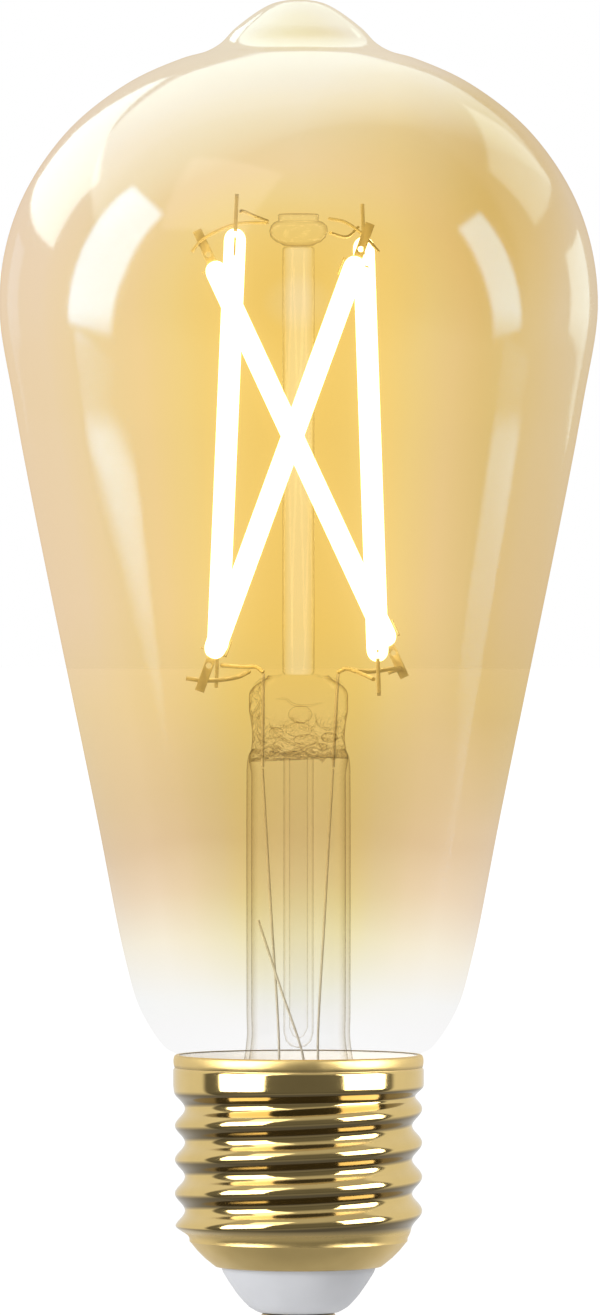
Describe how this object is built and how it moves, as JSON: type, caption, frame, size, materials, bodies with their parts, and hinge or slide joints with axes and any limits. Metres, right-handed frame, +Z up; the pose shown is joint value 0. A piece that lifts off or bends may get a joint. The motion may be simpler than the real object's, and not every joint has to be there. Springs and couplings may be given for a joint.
{
  "type": "smart light bulb",
  "caption": "Teardrop amber glass light bulb with crossed LED filaments on a glass stem, and a threaded metal screw cap that holds a driver and radio board.",
  "frame": {"origin": "middle of the centre contact's flat tip, the lowest point of the bulb", "axes": "+Z up the bulb's axis, from the cap to the top of the glass; -Y is the front"},
  "size_m": [0.064, 0.064, 0.1431],
  "materials": {
    "amber_glass": "clear, gold-tinted towards the top, fading to clear at the neck",
    "stem_glass": "clear, fire-polished",
    "phosphor": "soft silicone, lit warm white",
    "led_strip": "matte",
    "nickel_wire": "drawn wire and stamped pins",
    "copper_wire": "drawn wire",
    "gold_cap": "polished, lacquered",
    "contact_metal": "satin",
    "insulation": "satin light grey",
    "cement": "matte, porous",
    "board": "solder mask",
    "shield": "tin-plated, satin",
    "capacitor_sleeve": "shrunk film",
    "ferrite": "matte",
    "film_resin": "dipped resin",
    "fuse_coat": "flameproof coat",
    "black_resin": "moulded",
    "red_wire": "wire insulation"
  },
  "bodies": {
    "root": {"glass_bulb": "amber_glass", "stem_flare": "stem_glass", "stem_press": "stem_glass", "exhaust_tube": "stem_glass", "support_column": "stem_glass", "column_button": "stem_glass", "seal_wire_left": "copper_wire", "seal_wire_right": "copper_wire", "filament_front_phosphor": "phosphor", "filament_front_strip": "led_strip", "filament_front_clip_top": "nickel_wire", "filament_front_clip_bottom": "nickel_wire", "filament_left_phosphor": "phosphor", "filament_left_strip": "led_strip", "filament_left_clip_top": "nickel_wire", "filament_left_clip_bottom": "nickel_wire", "filament_right_phosphor": "phosphor", "filament_right_strip": "led_strip", "filament_right_clip_top": "nickel_wire", "filament_right_clip_bottom": "nickel_wire", "filament_back_phosphor": "phosphor", "filament_back_strip": "led_strip", "filament_back_clip_top": "nickel_wire", "filament_back_clip_bottom": "nickel_wire", "top_wire_front": "nickel_wire", "top_wire_left": "nickel_wire", "top_wire_right": "nickel_wire", "top_wire_back": "nickel_wire", "lead_left": "nickel_wire", "lead_left_branch": "nickel_wire", "lead_right": "nickel_wire", "lead_right_branch": "nickel_wire", "outer_lead_left": "copper_wire", "outer_lead_right": "copper_wire", "antenna_wire": "copper_wire", "screw_shell": "gold_cap", "cap_cement": "cement", "insulator": "insulation", "centre_contact": "contact_metal", "driver_board": "board", "radio_board": "board", "bulk_capacitor": "capacitor_sleeve", "inductor": "ferrite", "film_capacitor": "film_resin", "fuse_resistor": "fuse_coat", "bridge_rectifier": "black_resin", "driver_chip": "black_resin", "radio_shield": "shield", "contact_wire": "red_wire", "shell_wire": "copper_wire"}
  },
  "joints": []
}
